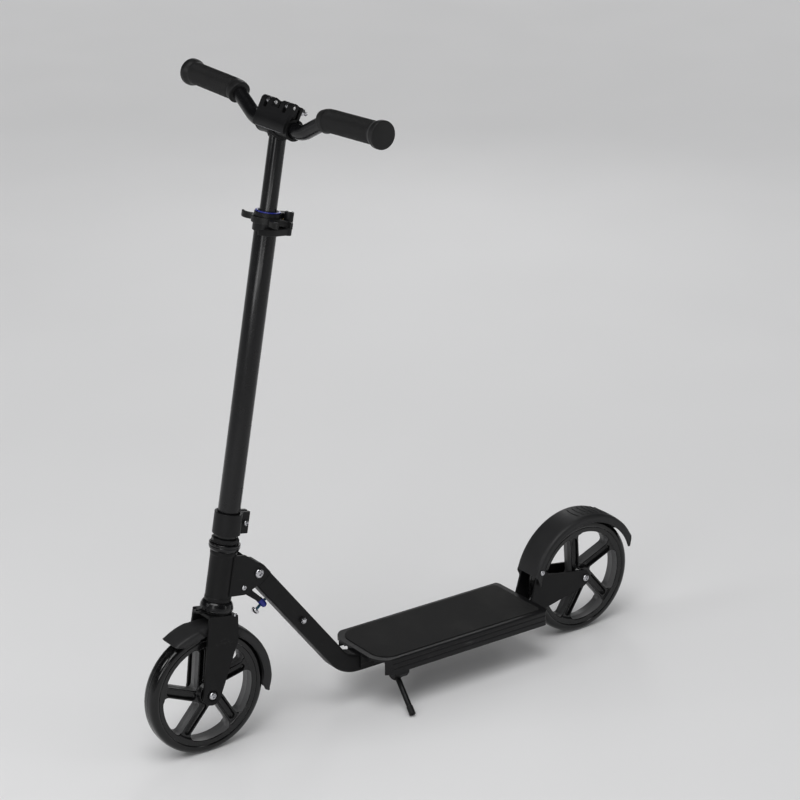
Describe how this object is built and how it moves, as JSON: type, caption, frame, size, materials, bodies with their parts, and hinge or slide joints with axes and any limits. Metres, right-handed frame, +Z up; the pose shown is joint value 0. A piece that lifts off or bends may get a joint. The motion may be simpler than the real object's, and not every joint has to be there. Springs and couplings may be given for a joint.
{
  "type": "kick scooter",
  "caption": "Folding kick scooter with big wheels, a T-bar of adjustable height with removable handles, front and rear mudguards, a foot brake and a kickstand.",
  "frame": {"origin": "on the ground, half way between the wheels, in the plane of symmetry of the frame", "axes": "+Z up, +X from the front wheel to the rear wheel, -Y towards the rider's left"},
  "size_m": [0.94, 0.5004, 1.0122],
  "materials": {
    "black_paint": "satin black powder coat",
    "black_gloss_paint": "glossy black paint",
    "black_anodised": "satin black anodised",
    "tyre_pu": "glossy black polyurethane",
    "rim_plastic": "glossy black, moulded",
    "fender_plastic": "satin dark grey-black, moulded",
    "black_plastic": "satin black, moulded",
    "grip_rubber": "matte black, ribbed",
    "grip_tape": "gritty matte black",
    "blue_plastic": "dark blue, moulded",
    "zinc_steel": "bright zinc plate"
  },
  "bodies": {
    "frame": {"deck": "black_anodised", "deck_grip_tape": "grip_tape", "neck_tube": "black_paint", "fold_tongue": "black_paint", "neck_bolt": "zinc_steel", "neck_nut": "zinc_steel", "rear_dropout_left": "black_paint", "rear_dropout_right": "black_paint", "rear_axle_bolt": "zinc_steel", "rear_axle_nut": "zinc_steel", "fender_pin": "zinc_steel", "fender_spring": "zinc_steel", "kickstand_bracket": "black_paint"},
    "head": {"head_tube": "black_paint", "lower_cup": "black_gloss_paint", "upper_cup": "black_gloss_paint", "lower_bearing": "zinc_steel", "upper_bearing": "zinc_steel", "fold_bolt": "zinc_steel", "latch_pin": "zinc_steel"},
    "latch": {"latch_lever": "black_paint", "latch_cap": "blue_plastic", "latch_screw": "zinc_steel"},
    "fork_and_stem": {"fork": "black_paint", "front_axle_bolt": "zinc_steel", "front_axle_nut": "zinc_steel", "front_fender": "fender_plastic", "strap_eyelet": "black_paint", "headset_nut": "black_anodised", "stem_clamp": "black_anodised", "stem_clamp_bolt": "zinc_steel", "stem_tube": "black_gloss_paint", "qr_collar": "black_anodised", "qr_bolt": "zinc_steel", "stem_bush": "blue_plastic", "grip_clips": "black_plastic"},
    "front_wheel": {"front_tyre": "tyre_pu", "front_rim": "rim_plastic", "front_bearing_left": "zinc_steel", "front_bearing_right": "zinc_steel"},
    "t_bar": {"t_bar": "black_gloss_paint", "clamp_eyebolt_left": "zinc_steel", "clamp_eyebolt_right": "zinc_steel", "clamp_nut_left": "zinc_steel", "clamp_nut_right": "zinc_steel"},
    "flip_lever": {"clamp_lever": "black_anodised", "clamp_pin_left": "zinc_steel", "clamp_pin_right": "zinc_steel"},
    "quick_release": {"qr_lever": "black_anodised", "qr_pin": "zinc_steel"},
    "handle_left": {"bar_left": "black_gloss_paint", "grip_left": "grip_rubber"},
    "handle_right": {"bar_right": "black_gloss_paint", "grip_right": "grip_rubber"},
    "rear_wheel": {"rear_tyre": "tyre_pu", "rear_rim": "rim_plastic", "rear_bearing_left": "zinc_steel", "rear_bearing_right": "zinc_steel"},
    "foot_brake": {"rear_fender_brake": "fender_plastic"},
    "kickstand": {"kickstand_leg": "black_paint"}
  },
  "joints": [
    {"name": "fold", "type": "hinge", "parent": "frame", "child": "head", "pos_m": [-0.278, 0, 0.277], "axis": [0, 1, 0], "range_deg": [0, 86]},
    {"name": "latch_swing", "type": "hinge", "parent": "head", "child": "latch", "pos_m": [-0.30559, 0, 0.26031], "axis": [0, 1, 0], "range_deg": [0, 22], "stiffness_Nm_per_rad": 0.4, "springref_deg": -17.19},
    {"name": "steering", "type": "hinge", "parent": "head", "child": "fork_and_stem", "pos_m": [-0.36655, 0, 0.09939], "axis": [0.1736, 0, 0.9848], "range_deg": [-45, 45]},
    {"name": "front_wheel_spin", "type": "hinge", "parent": "fork_and_stem", "child": "front_wheel", "pos_m": [-0.37, 0, 0.1], "axis": [0, 1, 0], "continuous": true},
    {"name": "stem_height", "type": "slide", "parent": "fork_and_stem", "child": "t_bar", "axis": [0.1736, 0, 0.9848], "range_m": [-0.1, 0.1]},
    {"name": "flip_lever_swing", "type": "hinge", "parent": "t_bar", "child": "flip_lever", "pos_m": [-0.21326, 0, 0.98999], "axis": [0, 1, 0], "range_deg": [0, 110]},
    {"name": "quick_release_swing", "type": "hinge", "parent": "fork_and_stem", "child": "quick_release", "pos_m": [-0.21322, -0.0159, 0.81463], "axis": [0.1736, 0, 0.9848], "range_deg": [0, 100]},
    {"name": "handle_left_pull", "type": "slide", "parent": "t_bar", "child": "handle_left", "axis": [0, -1, 0], "range_m": [0, 0.06]},
    {"name": "handle_right_pull", "type": "slide", "parent": "t_bar", "child": "handle_right", "axis": [0, 1, 0], "range_m": [0, 0.06]},
    {"name": "rear_wheel_spin", "type": "hinge", "parent": "frame", "child": "rear_wheel", "pos_m": [0.37, 0, 0.1], "axis": [0, 1, 0], "continuous": true},
    {"name": "brake_press", "type": "hinge", "parent": "frame", "child": "foot_brake", "pos_m": [0.2718, 0, 0.13574], "axis": [0, 1, 0], "range_deg": [0, 5], "stiffness_Nm_per_rad": 6, "springref_deg": -5.73},
    {"name": "kickstand_swing", "type": "hinge", "parent": "frame", "child": "kickstand", "pos_m": [-0.04, -0.047, 0.053], "axis": [0, -0.6018, 0.7986], "range_deg": [0, 98]}
  ]
}
